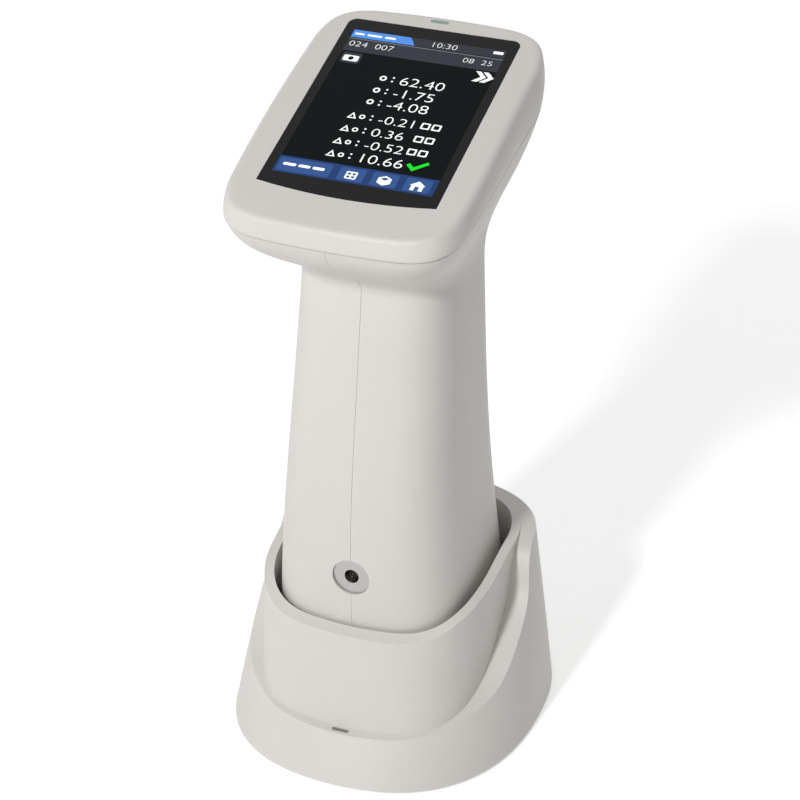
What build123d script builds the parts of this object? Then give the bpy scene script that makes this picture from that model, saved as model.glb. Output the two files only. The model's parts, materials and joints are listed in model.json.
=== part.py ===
from build123d import *
import os
from collections import namedtuple
from math import atan2, cos, degrees, pi, radians, sin, tan

# Handheld spectrophotometer standing in its charging and calibration cradle.
# Millimetres. The origin is the centre of the cradle's footprint on the table, +Z is up,
# the screen side is -Y, and +X is the right-hand side seen from the screen side.

# Cradle sizes
foot_height = 1.2
foot_radius = 5.0
foot_spacing_x = 62.0
foot_spacing_y = 76.0
cradle_half_width = 53.9
cradle_front = -61.0
cradle_back = 61.0
cradle_height = 66.0
cradle_wall = 2.6
rim_front_height = 52.5
rim_wall = 3.6
well_gap = 1.1
base_plate_thickness = 2.2
post_radius = 3.5
post_x = 39.0
post_y = 30.0
post_hole_radius = 1.25
post_top = 16.0
post_rib_length = 7.0
post_rib_width = 2.0
seat_flange_inset = 3.2

# Instrument sizes
rest_gap = 0.3
seat_height = 12.0
wall = 2.2
seam_gap = 0.1
face_tilt = 18.3
face_centre_y = -2.7
face_centre_height = 214.3
face_half_width = 39.2
face_front = -57.2
face_back = 48.2
head_half_width = 40.3
bezel_edge_radius = 2.4
glass_width = 59.8
glass_top = 41.0
glass_bottom = -40.4
glass_bulge = 2.6
glass_thickness = 1.1
glass_ledge = 1.6
display_width = 56.2
display_length = 75.4
display_thickness = 2.4
light_slot_length = 6.0
light_slot_width = 1.5
light_slot_offset = 45.0

# Electronics sizes
board_thickness = 1.6
board_depth = 8.0
board_half_width = 35.6
board_front = -53.6
board_back = 43.4
board_screw_x = 33.0
board_screw_front = -43.0
board_screw_back = 36.0
socket_width = 8.9
socket_height = 3.2
socket_length = 7.4
power_switch_x = 19.0
power_switch_travel = 3.0
cell_radius = 9.2
cell_length = 65.0
buzzer_radius = 4.5

# Optics sizes
port_radius = 5.5
aperture_ring_radius = 15.0
aperture_ring_height = 4.6
aperture_proud = 0.3
running_gap = 0.3
sphere_radius = 20.0
sphere_wall = 4.0
sphere_centre_height = 25.0
flange_radius = 28.0
flange_thickness = 3.0
side_port_height = 10.0
side_port_radius = 4.0
side_port_reach = 25.0
chassis_height = 51.5
chassis_thickness = 2.5
chassis_width = 56.0
chassis_length = 50.0
barrel_radius = 6.8
spectrometer_width = 40.0
spectrometer_front = -22.0
spectrometer_back = 20.0
spectrometer_height = 26.0
spectrometer_wall = 2.5

# Handle fittings
insert_height = 60.3
insert_face = -39.3
insert_flange_radius = 6.6
insert_hole_radius = 2.55
insert_length = 12.0
button_height = 158.0
button_width = 13.0
button_length = 19.0
button_proud = 1.6
button_travel = 1.2
screw_head_radius = 2.5
screw_radius = 1.25
screw_depth = 9.0
screw_head_height = 1.2
screw_length = 12.0
fit_gap = 0.1
part_gap = 0.2
cover_gap = 0.6

# Calibration and charging sizes
tile_radius = 16.0
tile_thickness = 3.0
tile_holder_radius = 18.0
pin_pitch = 5.0
pin_radius = 0.9
pin_y = 25.0
pin_travel = 1.0
pad_length = 3.4
pad_width = 3.0

# A ring is one closed cross-section: its half width, the y and height of its front and back points,
# and how square its corners are, across and along. Heights are above the instrument's underside.
# The rings stand at even steps, because a smooth skin through uneven steps swings out between them.
Ring = namedtuple("Ring", "half_width front front_height back back_height across along")

grip_rings = [
    Ring(35.2, -38.7, 0.0, 36.6, 0.0, 3.4, 3.4),
    Ring(34.9, -38.7, 32.0, 35.8, 32.0, 3.4, 3.4),
    Ring(32.6, -40.0, 64.0, 31.4, 64.0, 3.4, 3.4),
    Ring(30.3, -37.9, 96.0, 28.1, 96.0, 3.4, 3.4),
    Ring(28.5, -33.4, 128.0, 26.9, 128.0, 3.4, 3.4),
    Ring(26.9, -28.8, 160.0, 27.1, 160.0, 3.4, 3.5),
]
head_rings = [
    Ring(28.6, -32.0, 167.5, 29.6, 176.0, 3.5, 3.8),
    Ring(33.4, -43.4, 175.3, 35.0, 190.0, 4.0, 4.8),
    Ring(38.0, -54.9, 184.2, 41.2, 203.6, 4.8, 6.4),
    Ring(39.6, -57.5, 189.2, 43.8, 210.5, 5.0, 7.0),
]
belt_ring = Ring(head_half_width, -57.9, 190.4, 44.6, 218.5, 5.0, 7.0)

# Side profiles of the cradle: how high the outer ledge and the inner rim stand at each y.
back_start = 24.0
ledge_profile = [
    (-70.0, 15.0), (-52.0, 16.5), (-38.0, 20.2), (-22.0, 26.0), (-7.0, 37.0), (6.0, 51.0),
    (back_start, cradle_height),
]
rim_profile = [
    (-70.0, rim_front_height - 3.0), (-43.0, rim_front_height), (-30.0, 58.5), (-10.0, 63.0),
    (back_start, cradle_height),
]

outline_points = 20
cut_width = 140.0
cut_top = 90.0


def outline(half_width, front, back, across, along):
    """Points of one closed rounded outline, a superellipse with its own power on each axis."""
    middle = (front + back) / 2
    half_length = (back - front) / 2
    points = []
    for i in range(outline_points):
        angle = 2 * pi * (i + 0.5) / outline_points
        c, s = cos(angle), sin(angle)
        x = half_width * abs(c) ** (2 / across) * (1 if c > 0 else -1)
        y = middle + half_length * abs(s) ** (2 / along) * (1 if s > 0 else -1)
        points.append((x, y))
    return points


def ring_face(ring, inset=0.0):
    """The cross-section of the instrument's casing at one ring, drawn in by an inset."""
    front = Vector(0, ring.front, seat_height + ring.front_height)
    back = Vector(0, ring.back, seat_height + ring.back_height)
    along = back - front
    plane = Plane(
        origin=(front + back) / 2, x_dir=(1, 0, 0), z_dir=(0, -along.Z, along.Y)
    )
    half_length = along.length / 2 - inset
    points = outline(ring.half_width - inset, -half_length, half_length, ring.across, ring.along)
    with BuildSketch(plane) as section:
        with BuildLine():
            Spline(*points, periodic=True)
        make_face()
    return section.sketch


def level_face(height, half_width, front, back, square):
    """A level outline of the cradle at one height above the table."""
    with BuildSketch(Plane.XY.offset(height)) as section:
        with BuildLine():
            Spline(*outline(half_width, front, back, square, square), periodic=True)
        make_face()
    return section.sketch


def face_plane(depth=0.0):
    """The plane of the instrument's sloping face, or one below it by a depth. Local y runs up the slope."""
    tilt = radians(face_tilt)
    centre = Vector(0, face_centre_y, seat_height + face_centre_height)
    normal = Vector(0, -sin(tilt), cos(tilt))
    return Plane(origin=centre - normal * depth, x_dir=(1, 0, 0), z_dir=normal)


def face_outline(depth, inset):
    """The outline of the head at a depth under its face."""
    points = outline(face_half_width - inset, face_front + inset, face_back - inset, 5.0, 7.0)
    with BuildSketch(face_plane(depth)) as section:
        with BuildLine():
            Spline(*points, periodic=True)
        make_face()
    return section.sketch


def glass_outline(depth, grow):
    """The outline of the touch glass, straight at the top and gently bowed at the bottom."""
    half = glass_width / 2 + grow
    top = glass_top + grow
    low = glass_bottom - grow
    with BuildSketch(face_plane(depth)) as section:
        with BuildLine():
            Line((-half, top), (half, top))
            Line((half, top), (half, low))
            ThreePointArc((half, low), (0, low - glass_bulge), (-half, low))
            Line((-half, low), (-half, top))
        make_face()
        fillet(section.vertices().group_by(Axis.Y)[-1], 3.0 + grow)
    return section.sketch


def profile_cut(profile, drop=0.0):
    """Everything above a side profile, across the whole width. Behind its last point it runs level."""
    points = [(y, z - drop) for y, z in profile]
    start, end = points[0], points[-1]
    with BuildPart() as above:
        with BuildSketch(Plane.YZ.offset(-cut_width / 2)):
            with BuildLine():
                Spline(*points, tangents=((1, 0.1), (1, 0)))
                Polyline(end, (cut_width / 2, end[1]), (cut_width / 2, cut_top), (start[0], cut_top), start)
            make_face()
        extrude(amount=cut_width)
    return above.part


def save(piece, name):
    """Label one finished piece and write its file."""
    piece.part.label = name
    export_step(piece.part, "parts/" + name + ".step")


os.makedirs("parts", exist_ok=True)

# Heights and places in the cradle that several pieces share
plate_bottom = foot_height
plate_top = plate_bottom + base_plate_thickness
well_floor = seat_height - rest_gap
sleeve_bottom = seat_height - 3.0
sleeve_lean = 6.6
seat_bottom = sleeve_bottom - 2.4
seat_pillar_x = 30.0
seat_pillar_y = 25.0
plate_gap = 0.4
cradle_board_bottom = plate_top + 0.5
cradle_board_top = cradle_board_bottom + board_thickness
cradle_board_front = cradle_front + 8.0
cradle_board_back = cradle_back - 9.0
board_pillar_x = 16.0
board_pillar_y = 46.0
cradle_light_y = cradle_front + 10.3
light_pipe_bottom = cradle_board_top + 1.0
tile_top = seat_height - aperture_proud - rest_gap
tile_holder_height = tile_thickness + 1.0
tile_holder_bottom = tile_top - tile_holder_height
pin_block_width = 3 * pin_pitch + 5.0
pin_block_depth = 6.0
pin_block_top = well_floor - 0.5
pad_depth = 0.5
pin_top = seat_height + pad_depth - rest_gap
pin_bottom = cradle_board_top + 2.0
socket_setback = 3.0

# Cradle outlines at three heights: the outer skirt leans in and back as it rises.
skirt_levels = [
    (plate_bottom, cradle_half_width, cradle_front, cradle_back),
    (cradle_height / 2, cradle_half_width - 3.9, cradle_front + 18.2, cradle_back - 7.4),
    (cradle_height + 2, cradle_half_width - 9.0, cradle_front + 40.0, cradle_back - 15.6),
]
bottom_ring = grip_rings[0]


middle_level = skirt_levels[1]
plate_share = base_plate_thickness / (middle_level[0] - plate_bottom)
plate_level = tuple(low + (high - low) * plate_share for low, high in zip(skirt_levels[0], middle_level))


def skirt_face(level, inset=0.0):
    height, half_width, front, back = level
    return level_face(height, half_width - inset, front + inset, back - inset, 2.35)


def well_face(height, grow):
    """The well follows the lower grip with a clearance, and opens a little towards its top."""
    lean = 0.8 * (height - seat_height) / (cradle_height - seat_height)
    out = well_gap + lean + grow
    return level_face(
        height, bottom_ring.half_width + out, bottom_ring.front - out - 0.3, bottom_ring.back + out, 3.4
    )


def sleeve_face(height, lower_front, inset=0.0):
    """The outside of the inner sleeve, thicker at its front foot where it leans out."""
    out = well_gap + rim_wall - inset
    return level_face(
        height,
        bottom_ring.half_width + out + 0.6,
        bottom_ring.front - out - lower_front,
        bottom_ring.back + out,
        3.2,
    )


LOW = (Align.CENTER, Align.CENTER, Align.MIN)
HIGH = (Align.CENTER, Align.CENTER, Align.MAX)

with BuildPart() as skirt_inside:
    loft([skirt_face(level, cradle_wall) for level in skirt_levels])
    add(profile_cut(ledge_profile, cradle_wall), mode=Mode.SUBTRACT)

with BuildPart() as sleeve:
    loft([
        sleeve_face(sleeve_bottom, sleeve_lean),
        sleeve_face(cradle_height / 2, sleeve_lean / 2),
        sleeve_face(cradle_height + 2, 0.0),
    ])
    add(profile_cut(rim_profile), mode=Mode.SUBTRACT)

with BuildPart() as screw_posts:
    with BuildSketch(Plane.XY.offset(plate_top)):
        with GridLocations(2 * post_x, 2 * post_y, 2, 2):
            Circle(post_radius)
        with Locations(*[(side * (post_x + post_rib_length / 2), post_y) for side in (-1, 1)]):
            Rectangle(post_rib_length, post_rib_width)
    extrude(amount=post_top - plate_top)

# Cradle shell: the skirt, the ledge, the sleeve round the well and the four screw posts in one moulding
with BuildPart() as cradle_shell:
    loft([skirt_face(level) for level in skirt_levels])
    add(profile_cut(ledge_profile), mode=Mode.SUBTRACT)
    add(skirt_inside.part, mode=Mode.SUBTRACT)
    add(sleeve.part)
    add(screw_posts.part)
    loft([well_face(sleeve_bottom - 1, 0.0), well_face(cradle_height + 3, 0.0)], mode=Mode.SUBTRACT)
    with BuildSketch(Plane.XY.offset(plate_top)):
        with GridLocations(2 * post_x, 2 * post_y, 2, 2):
            Circle(post_hole_radius)
    extrude(amount=screw_length, mode=Mode.SUBTRACT)
    with BuildSketch(Plane.XY.offset(light_pipe_bottom)):
        with Locations((0, cradle_light_y)):
            SlotOverall(light_slot_length + part_gap, light_slot_width + part_gap)
    extrude(amount=cradle_height, mode=Mode.SUBTRACT)
    with BuildSketch(Plane.XZ.offset(-cradle_back)):
        with Locations((0, cradle_board_top + socket_height / 2)):
            SlotOverall(socket_width + part_gap * 2, socket_height + part_gap * 2)
    extrude(amount=cradle_wall * 4, mode=Mode.SUBTRACT)
save(cradle_shell, "cradle_shell")

# Rubber feet, stuck under the base plate
with BuildPart() as cradle_feet:
    with BuildSketch():
        with GridLocations(foot_spacing_x, foot_spacing_y, 2, 2):
            Circle(foot_radius)
    extrude(amount=foot_height)
    chamfer(cradle_feet.faces().sort_by(Axis.Z)[0].edges(), 0.4)
save(cradle_feet, "cradle_feet")

# Base plate: closes the skirt from below and carries the circuit board and the seat on pillars
with BuildPart() as cradle_base_plate:
    loft([
        skirt_face(skirt_levels[0], cradle_wall + plate_gap),
        skirt_face(plate_level, cradle_wall + plate_gap),
    ])
    with BuildSketch(Plane.XY.offset(plate_top)):
        with GridLocations(2 * seat_pillar_x, 2 * seat_pillar_y, 2, 2):
            Circle(2.5)
    extrude(amount=seat_bottom - plate_top)
    with BuildSketch(Plane.XY.offset(plate_top)):
        with GridLocations(2 * board_pillar_x, 2 * board_pillar_y, 2, 2):
            Circle(2.0)
    extrude(amount=cradle_board_bottom - plate_top)
    with GridLocations(2 * post_x, 2 * post_y, 2, 2):
        with Locations((0, 0, plate_bottom)):
            Cylinder(screw_head_radius + part_gap, screw_head_height, align=LOW, mode=Mode.SUBTRACT)
            Cylinder(screw_radius + part_gap, base_plate_thickness, align=LOW, mode=Mode.SUBTRACT)
save(cradle_base_plate, "cradle_base_plate")

# Screws that hold the base plate to the shell's posts
with BuildPart() as cradle_screws:
    with GridLocations(2 * post_x, 2 * post_y, 2, 2):
        with Locations((0, 0, plate_bottom)):
            Cylinder(screw_head_radius, screw_head_height, align=LOW)
            Cylinder(screw_radius - fit_gap, screw_length, align=LOW)
save(cradle_screws, "cradle_screws")

# Circuit board of the cradle, with the indicator diode at its front end
with BuildPart() as cradle_board:
    with BuildSketch(Plane.XY.offset(cradle_board_bottom)):
        with Locations((0, (cradle_board_front + cradle_board_back) / 2)):
            RectangleRounded(40, cradle_board_back - cradle_board_front, 3)
    extrude(amount=board_thickness)
    with Locations((0, cradle_light_y, cradle_board_top)):
        Box(2.0, 1.4, light_pipe_bottom - cradle_board_top - part_gap, align=LOW)
    with Locations((0, pin_y + 12, cradle_board_top)):
        Box(7, 7, 0.9, align=LOW)
save(cradle_board, "cradle_board")

# Light pipe of the cradle's indicator, from the board up to the front of the ledge
with BuildPart() as cradle_light_pipe:
    with BuildSketch(Plane.XY.offset(light_pipe_bottom)):
        with Locations((0, cradle_light_y)):
            SlotOverall(light_slot_length, light_slot_width)
    extrude(amount=ledge_profile[1][1] - light_pipe_bottom)
save(cradle_light_pipe, "cradle_light_pipe")

# Power inlet at the back of the cradle: a shell with a hollow mouth and its tongue
with BuildPart() as cradle_power_socket:
    with BuildSketch(Plane.XZ.offset(-(cradle_back - socket_setback))):
        with Locations((0, cradle_board_top + socket_height / 2)):
            SlotOverall(socket_width, socket_height)
    extrude(amount=socket_length)
    with BuildSketch(Plane.XZ.offset(-(cradle_back - socket_setback))):
        with Locations((0, cradle_board_top + socket_height / 2)):
            SlotOverall(socket_width - 0.7, socket_height - 0.7)
    extrude(amount=socket_length - 1.2, mode=Mode.SUBTRACT)
    with Locations((0, cradle_back - socket_setback - socket_length / 2 - 0.6, cradle_board_top + socket_height / 2)):
        Box(socket_width - 2.6, socket_length - 1.6, 0.7)
save(cradle_power_socket, "cradle_power_socket")

# Seat: the floor of the well, clamped between the sleeve and the base plate's pillars
with BuildPart() as cradle_seat:
    extrude(sleeve_face(seat_bottom, sleeve_lean, seat_flange_inset), amount=sleeve_bottom - seat_bottom)
    extrude(well_face(sleeve_bottom, -0.5), amount=well_floor - sleeve_bottom)
    with Locations((0, 0, tile_holder_bottom - 1.5)):
        Cylinder(tile_holder_radius + 2, seat_bottom - tile_holder_bottom + 1.5, align=LOW)
    with Locations((0, 0, tile_holder_bottom)):
        Cylinder(tile_holder_radius + part_gap, tile_holder_height + 1, align=LOW, mode=Mode.SUBTRACT)
    with Locations((0, pin_y, seat_bottom)):
        Box(pin_block_width + 0.6, pin_block_depth + 0.6, seat_height, align=LOW, mode=Mode.SUBTRACT)
save(cradle_seat, "cradle_seat")

# Tile holder: a dark ring that centres the white calibration tile under the measuring port
with BuildPart() as tile_holder:
    with Locations((0, 0, tile_holder_bottom)):
        Cylinder(tile_holder_radius, tile_holder_height, align=LOW)
    with Locations((0, 0, tile_top - tile_thickness)):
        Cylinder(tile_radius + fit_gap, tile_thickness + 1, align=LOW, mode=Mode.SUBTRACT)
save(tile_holder, "tile_holder")

# White ceramic calibration tile
with BuildPart() as calibration_tile:
    with Locations((0, 0, tile_top - tile_thickness)):
        Cylinder(tile_radius, tile_thickness, align=LOW)
    chamfer(calibration_tile.faces().sort_by(Axis.Z)[-1].edges(), 0.4)
save(calibration_tile, "calibration_tile")

# Block that carries the spring contacts
with BuildPart() as contact_block:
    with Locations((0, pin_y, cradle_board_top)):
        Box(pin_block_width, pin_block_depth, pin_block_top - cradle_board_top, align=LOW)
    with BuildSketch(Plane.XY.offset(pin_bottom - pin_travel - part_gap)):
        with Locations((0, pin_y)):
            with GridLocations(pin_pitch, pin_pitch, 4, 1):
                Circle(pin_radius + fit_gap)
    extrude(amount=pin_block_top, mode=Mode.SUBTRACT)
save(contact_block, "contact_block")

# Four spring contact pins
with BuildPart() as contact_pins:
    with BuildSketch(Plane.XY.offset(pin_bottom)):
        with Locations((0, pin_y)):
            with GridLocations(pin_pitch, pin_pitch, 4, 1):
                Circle(pin_radius)
    extrude(amount=pin_top - pin_bottom)
    fillet(contact_pins.edges().group_by(Axis.Z)[-1], pin_radius * 0.6)
save(contact_pins, "contact_pins")


# Heights and places in the instrument that several pieces share
def up(height):
    """Height above the table of something measured from the instrument's underside."""
    return seat_height + height


neck_rings = [grip_rings[-1]] + head_rings
shelf_inner = chassis_width / 2 - 4.0
barrel_depth = 3.5
barrel_length = 9.0
lens_radius = barrel_radius - 2.0 - fit_gap
lens_thickness = 2.6
lens_curve = 9.0
lens_bottom = up(chassis_height + 1.5)
knob_width = 4.2
knob_height = 2.2
knob_proud = 2.2
knob_reach = 5.6
light_foot_depth = 5.0
slope = face_plane(0)
board_end = slope.origin + slope.y_dir * (board_back + 1.8)
socket_plane = Plane(origin=board_end, x_dir=(-1, 0, 0), z_dir=slope.y_dir)
rear_plane = socket_plane.offset(8.0)
socket_middle = -(board_depth + board_thickness + socket_height / 2)
parting_ring = head_rings[-1]
cover_thickness = 2.5
corner_post_x = 24.5
corner_post_front = -25.5
corner_post_back = 23.5
corner_rib = 1.8
corner_post_radius = 3.4
corner_post_height = 12.0
shelf_thickness = 2.0
shelf_length = 24.0
insert_boss_radius = 8.0
insert_boss_back = insert_face + insert_length + 1.0
insert_flange_thickness = 1.2
insert_body_radius = 5.0
casing_screws = [(-30.8, 16.0), (29.0, 16.0), (-24.0, 95.0), (21.5, 95.0)]
boss_radius = 3.2
switch_post_x = 6.0
switch_post_radius = 1.6
switch_post_heights = (button_height - 13.5, button_height + 13.5)
button_flange = 1.2
button_stem_end = grip_rings[-1].back - wall - rest_gap - button_flange
button_rim = 1.4
switch_board_face = button_stem_end - button_travel - 2.4
button_face = grip_rings[-1].back + button_proud


def raised(ring, height):
    """The same ring moved up or down."""
    return ring._replace(front_height=ring.front_height + height, back_height=ring.back_height + height)


def board_outline(depth):
    """The outline of the main board, which follows the head's outline and stops short of its rear wall."""
    points = outline(board_half_width, board_front, board_back, 5.0, 7.0)
    with BuildSketch(face_plane(depth)) as section:
        with BuildLine():
            Spline(*points, periodic=True)
        make_face()
    return section.sketch


def pill(width, length, height):
    """An upright rounded outline on the handle's back, centred on a height above the underside."""
    with BuildSketch(Plane.XZ) as section:
        with Locations((0, up(height))):
            RectangleRounded(width, length, min(width, length) * 0.42)
    return section.sketch


# Everything that stands in the casing's hollow: screw bosses, corner posts, shelves and the insert's boss
with BuildPart() as casing_ribs:
    with BuildSketch(Plane.YZ.offset(-head_half_width)):
        with Locations(*[(y, up(height)) for y, height in casing_screws]):
            Circle(boss_radius)
    extrude(amount=2 * head_half_width)
    with BuildSketch(Plane.XY.offset(up(cover_thickness))):
        with Locations(*[(x, y) for x in (-corner_post_x, corner_post_x) for y in (corner_post_front, corner_post_back)]):
            Circle(corner_post_radius)
        with Locations(*[(x, y) for x in (-head_half_width, head_half_width) for y in (corner_post_front, corner_post_back)]):
            Rectangle(2 * (head_half_width - corner_post_x), corner_rib)
    extrude(amount=corner_post_height - cover_thickness)
    with Locations(*[(side * head_half_width, 0, up(chassis_height - part_gap)) for side in (-1, 1)]):
        Box(2 * (head_half_width - shelf_inner), shelf_length, shelf_thickness, align=HIGH)
    with BuildSketch(Plane.XZ.offset(-insert_boss_back)):
        with Locations((0, up(insert_height))):
            Circle(insert_boss_radius)
    extrude(amount=insert_boss_back - parting_ring.front)
    with BuildSketch(Plane.XZ.offset(-button_face)):
        with Locations(*[(x, up(h)) for x in (-switch_post_x, switch_post_x) for h in switch_post_heights]):
            Circle(switch_post_radius)
    extrude(amount=button_face - switch_board_face - part_gap)

with BuildPart() as casing_hollow:
    loft([ring_face(raised(grip_rings[0], -1), wall)] + [ring_face(ring, wall) for ring in grip_rings[1:]])
    loft([ring_face(ring, wall) for ring in neck_rings[:-1]] + [ring_face(raised(parting_ring, 0.5), wall)])
    add(casing_ribs.part, mode=Mode.SUBTRACT)

# The whole casing of grip and head tray, before it is parted into its two halves
with BuildPart() as casing:
    loft([ring_face(ring) for ring in grip_rings])
    loft([ring_face(ring) for ring in neck_rings])
    add(casing_hollow.part, mode=Mode.SUBTRACT)
    for x in (-corner_post_x, corner_post_x):
        for y in (corner_post_front, corner_post_back):
            with Locations((x, y, up(cover_thickness))):
                Cylinder(screw_radius, corner_post_height, align=LOW, mode=Mode.SUBTRACT)
    with BuildSketch(Plane.XZ.offset(-insert_boss_back)):
        with Locations((0, up(insert_height))):
            Circle(insert_body_radius + fit_gap)
    extrude(amount=insert_length * 2, mode=Mode.SUBTRACT)
    with BuildSketch(Plane.XZ.offset(-(insert_face + insert_flange_thickness))):
        with Locations((0, up(insert_height))):
            Circle(insert_flange_radius + fit_gap)
    extrude(amount=insert_length, mode=Mode.SUBTRACT)
    extrude(pill(button_width + 2 * part_gap, button_length + 2 * part_gap, button_height).moved(
        Location((0, button_face + 4, 0))), amount=8.0, mode=Mode.SUBTRACT)

# Left and right halves of the casing, each with its own half of every boss
with BuildPart() as grip_shell_left:
    add(casing.part)
    with Locations((-seam_gap / 2, 0, 0)):
        Box(cut_width, 2 * cut_width, 4 * cut_width, align=(Align.MIN, Align.CENTER, Align.CENTER), mode=Mode.SUBTRACT)
    for y, height in casing_screws:
        with BuildSketch(Plane.YZ.offset(-cut_width / 2)):
            with Locations((y, up(height))):
                Circle(screw_head_radius + part_gap)
        extrude(amount=cut_width / 2 - screw_depth, mode=Mode.SUBTRACT)
        with BuildSketch(Plane.YZ.offset(-cut_width / 2)):
            with Locations((y, up(height))):
                Circle(screw_radius + part_gap)
        extrude(amount=cut_width / 2, mode=Mode.SUBTRACT)
save(grip_shell_left, "grip_shell_left")

with BuildPart() as grip_shell_right:
    add(casing.part)
    with Locations((seam_gap / 2, 0, 0)):
        Box(cut_width, 2 * cut_width, 4 * cut_width, align=(Align.MAX, Align.CENTER, Align.CENTER), mode=Mode.SUBTRACT)
    for y, height in casing_screws:
        with BuildSketch(Plane.YZ):
            with Locations((y, up(height))):
                Circle(screw_radius)
        extrude(amount=screw_depth, mode=Mode.SUBTRACT)
save(grip_shell_right, "grip_shell_right")

# Screws that draw the two halves together
with BuildPart() as casing_screw_set:
    for y, height in casing_screws:
        with BuildSketch(Plane.YZ.offset(-screw_depth)):
            with Locations((y, up(height))):
                Circle(screw_head_radius)
        extrude(amount=-1.8)
        with BuildSketch(Plane.YZ.offset(-screw_depth)):
            with Locations((y, up(height))):
                Circle(screw_radius - fit_gap)
        extrude(amount=2 * screw_depth - 1.0)
save(casing_screw_set, "casing_screws")

# Head bezel: the lid of the head round the glass, with its screw bosses
with BuildPart() as bezel_hollow:
    loft([
        ring_face(raised(parting_ring, part_gap - 1), wall),
        ring_face(belt_ring, wall),
        face_outline(wall, wall),
    ])
    for y in (board_screw_front, board_screw_back):
        with BuildSketch(face_plane(0)):
            with Locations((-board_screw_x, y), (board_screw_x, y)):
                Circle(2.6)
        extrude(amount=-board_depth, mode=Mode.SUBTRACT)

with BuildPart() as head_bezel:
    loft([ring_face(raised(parting_ring, part_gap)), ring_face(belt_ring), face_outline(0, 0)])
    fillet(head_bezel.faces().sort_by(Axis.Z)[-1].edges(), bezel_edge_radius)
    add(bezel_hollow.part, mode=Mode.SUBTRACT)
    extrude(glass_outline(glass_thickness + fit_gap, fit_gap), amount=5, mode=Mode.SUBTRACT)
    extrude(glass_outline(0, -glass_ledge), amount=-5, mode=Mode.SUBTRACT)
    with BuildSketch(face_plane(0)):
        with Locations((0, light_slot_offset)):
            SlotOverall(light_slot_length + part_gap, light_slot_width + part_gap)
    extrude(amount=-light_foot_depth, mode=Mode.SUBTRACT)
    for y in (board_screw_front, board_screw_back):
        with BuildSketch(face_plane(board_depth)):
            with Locations((-board_screw_x, y), (board_screw_x, y)):
                Circle(1.0)
        extrude(amount=4.5, mode=Mode.SUBTRACT)
    with BuildSketch(rear_plane):
        with Locations((0, socket_middle)):
            SlotOverall(socket_width + part_gap * 2, socket_height + part_gap * 2)
        with Locations((-power_switch_x, socket_middle)):
            SlotOverall(knob_width + power_switch_travel + 4 * part_gap, knob_height + 4 * part_gap)
    extrude(amount=-12, mode=Mode.SUBTRACT)
save(head_bezel, "head_bezel")

# Touch glass, let into the bezel's face
with BuildPart() as touch_glass:
    extrude(glass_outline(glass_thickness + fit_gap, 0), amount=glass_thickness)
save(touch_glass, "touch_glass")

# Display module, bonded under the glass
with BuildPart() as display_panel:
    with BuildSketch(face_plane(glass_thickness + fit_gap)):
        RectangleRounded(display_width, display_length, 1.5)
    extrude(amount=-display_thickness)
save(display_panel, "display_panel")

# Light pipe of the status light, with a foot that reaches over the diode on the board
with BuildPart() as status_light_pipe:
    with BuildSketch(face_plane(fit_gap)):
        with Locations((0, light_slot_offset)):
            SlotOverall(light_slot_length, light_slot_width)
    extrude(amount=-(light_foot_depth - fit_gap))
    with BuildSketch(face_plane(light_foot_depth)):
        with Locations((0, light_slot_offset - 2.55)):
            Rectangle(light_slot_length, 4.5)
    extrude(amount=-(board_depth - light_foot_depth - 1.4))
save(status_light_pipe, "status_light_pipe")

# Main circuit board, screwed to the bezel's bosses
with BuildPart() as main_board:
    extrude(board_outline(board_depth), amount=-board_thickness)
    with BuildSketch(face_plane(board_depth)):
        with Locations((-board_screw_x, board_screw_front), (board_screw_x, board_screw_front),
                       (-board_screw_x, board_screw_back), (board_screw_x, board_screw_back)):
            Circle(1.2)
    extrude(amount=-board_thickness, mode=Mode.SUBTRACT)
    with BuildSketch(face_plane(board_depth)):
        with Locations((0, light_slot_offset - 3.4)):
            Rectangle(2.0, 1.6)
    extrude(amount=1.2)
    with BuildSketch(face_plane(board_depth)):
        with Locations((-8, -12), (14, 8)):
            Rectangle(14, 14)
        with Locations((-16, 16)):
            Rectangle(10, 16)
    extrude(amount=1.4)
save(main_board, "main_board")

# Screws under the board
with BuildPart() as board_screws:
    with BuildSketch(face_plane(board_depth + board_thickness)):
        with Locations((-board_screw_x, board_screw_front), (board_screw_x, board_screw_front),
                       (-board_screw_x, board_screw_back), (board_screw_x, board_screw_back)):
            Circle(1.9)
    extrude(amount=-1.2)
    with BuildSketch(face_plane(board_depth + board_thickness)):
        with Locations((-board_screw_x, board_screw_front), (board_screw_x, board_screw_front),
                       (-board_screw_x, board_screw_back), (board_screw_x, board_screw_back)):
            Circle(0.95)
    extrude(amount=5.0)
save(board_screws, "board_screws")

# Data socket on the underside of the board, its mouth in the bezel's rear wall
with BuildPart() as data_socket:
    with BuildSketch(socket_plane):
        with Locations((0, socket_middle)):
            SlotOverall(socket_width, socket_height)
    extrude(amount=-socket_length)
    with BuildSketch(socket_plane):
        with Locations((0, socket_middle)):
            SlotOverall(socket_width - 0.7, socket_height - 0.7)
    extrude(amount=-(socket_length - 1.2), mode=Mode.SUBTRACT)
    with BuildSketch(socket_plane.offset(-1.0)):
        with Locations((0, socket_middle)):
            Rectangle(socket_width - 2.6, 0.7)
    extrude(amount=-(socket_length - 1.6))
save(data_socket, "data_socket")

# Power switch: its base on the board, and its sliding knob
with BuildPart() as power_switch_base:
    with BuildSketch(face_plane(board_depth + board_thickness)):
        with Locations((power_switch_x, board_back - 4.4)):
            Rectangle(12, 5.0)
    extrude(amount=-3.4)
save(power_switch_base, "power_switch_base")

with BuildPart() as power_switch:
    with BuildSketch(socket_plane.offset(knob_proud)):
        with Locations((power_switch_travel / 2 - power_switch_x, socket_middle)):
            SlotOverall(knob_width, knob_height)
    extrude(amount=-(knob_reach))
save(power_switch, "power_switch")

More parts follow.
